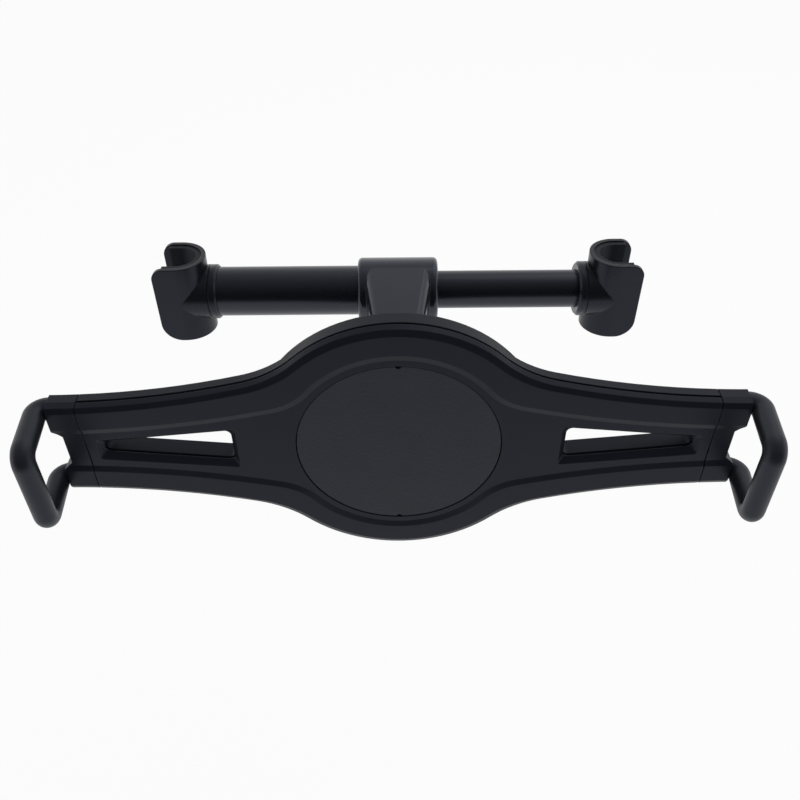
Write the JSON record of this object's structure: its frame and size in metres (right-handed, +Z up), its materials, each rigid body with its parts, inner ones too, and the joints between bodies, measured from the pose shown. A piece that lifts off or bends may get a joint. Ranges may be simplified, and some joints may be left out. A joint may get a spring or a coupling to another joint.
{
  "type": "headrest tablet mount",
  "caption": "Sprung telescopic bar with post hooks, a neck and a ball joint that carries a wide spring-closed tablet holder with rubber claw hoops.",
  "frame": {"origin": "on the bar's axis, midway between the two headrest posts, with the bar fully out", "axes": "+X along the bar, -Y towards the tablet and its user, +Z up along the headrest posts"},
  "size_m": [0.2128, 0.116, 0.0852],
  "materials": {
    "holder_plastic": "fine moulded grain, black",
    "hook_plastic": "fine spark grain, black",
    "disc_plastic": "fine even grain, black",
    "tube_black": "satin black anodised",
    "neck_satin": "satin black",
    "claw_rubber": "soft matte black",
    "pad_rubber": "matte black",
    "nylon": "natural grey-white",
    "ball_metal": "black coated",
    "spring_steel": "drawn wire",
    "screw_steel": "black zinc"
  },
  "bodies": {
    "bar": {"outer_tube": "tube_black", "guide_bush": "nylon", "bar_spring": "spring_steel", "left_end_plug": "nylon", "left_hook": "hook_plastic", "left_hook_pad": "pad_rubber", "left_hook_screw": "screw_steel", "neck": "neck_satin", "neck_screw": "screw_steel", "ball_stud": "ball_metal"},
    "bar_end": {"inner_tube": "tube_black", "spring_piston": "nylon", "right_end_plug": "nylon", "right_hook": "hook_plastic", "right_hook_pad": "pad_rubber", "right_hook_screw": "screw_steel"},
    "ball_seat": {"seat_ring": "nylon"},
    "clamp_nut": {"ring_nut": "holder_plastic"},
    "holder": {"socket_cup": "holder_plastic", "socket_screws": "screw_steel", "front_plate": "holder_plastic", "rear_cover": "holder_plastic", "cover_screws": "screw_steel", "centre_disc": "disc_plastic", "left_arm_spring": "spring_steel", "right_arm_spring": "spring_steel"},
    "left_slider": {"left_arm": "holder_plastic", "left_claw": "claw_rubber"},
    "right_slider": {"right_arm": "holder_plastic", "right_claw": "claw_rubber"}
  },
  "joints": [
    {"name": "bar_slide", "type": "slide", "parent": "bar", "child": "bar_end", "axis": [1, 0, 0], "range_m": [-0.035, 0], "stiffness_N_per_m": 300, "springref_m": 0.04, "deforming": ["bar_spring"]},
    {"name": "ball_tilt", "type": "hinge", "parent": "bar", "child": "ball_seat", "pos_m": [0, -0.064, 0], "axis": [1, 0, 0], "range_deg": [-20, 20]},
    {"name": "ball_pan", "type": "hinge", "parent": "ball_seat", "child": "clamp_nut", "pos_m": [0, -0.064, 0], "axis": [0, 0, 1], "range_deg": [-20, 20]},
    {"name": "ball_spin", "type": "hinge", "parent": "clamp_nut", "child": "holder", "pos_m": [0, -0.064, 0], "axis": [0, 1, 0], "continuous": true},
    {"name": "left_arm_slide", "type": "slide", "parent": "holder", "child": "left_slider", "axis": [-1, 0, 0], "range_m": [0, 0.028], "stiffness_N_per_m": 250, "springref_m": -0.03, "deforming": ["left_arm_spring"]},
    {"name": "right_arm_slide", "type": "slide", "parent": "holder", "child": "right_slider", "axis": [1, 0, 0], "range_m": [0, 0.028], "stiffness_N_per_m": 250, "springref_m": -0.03, "deforming": ["right_arm_spring"]}
  ]
}
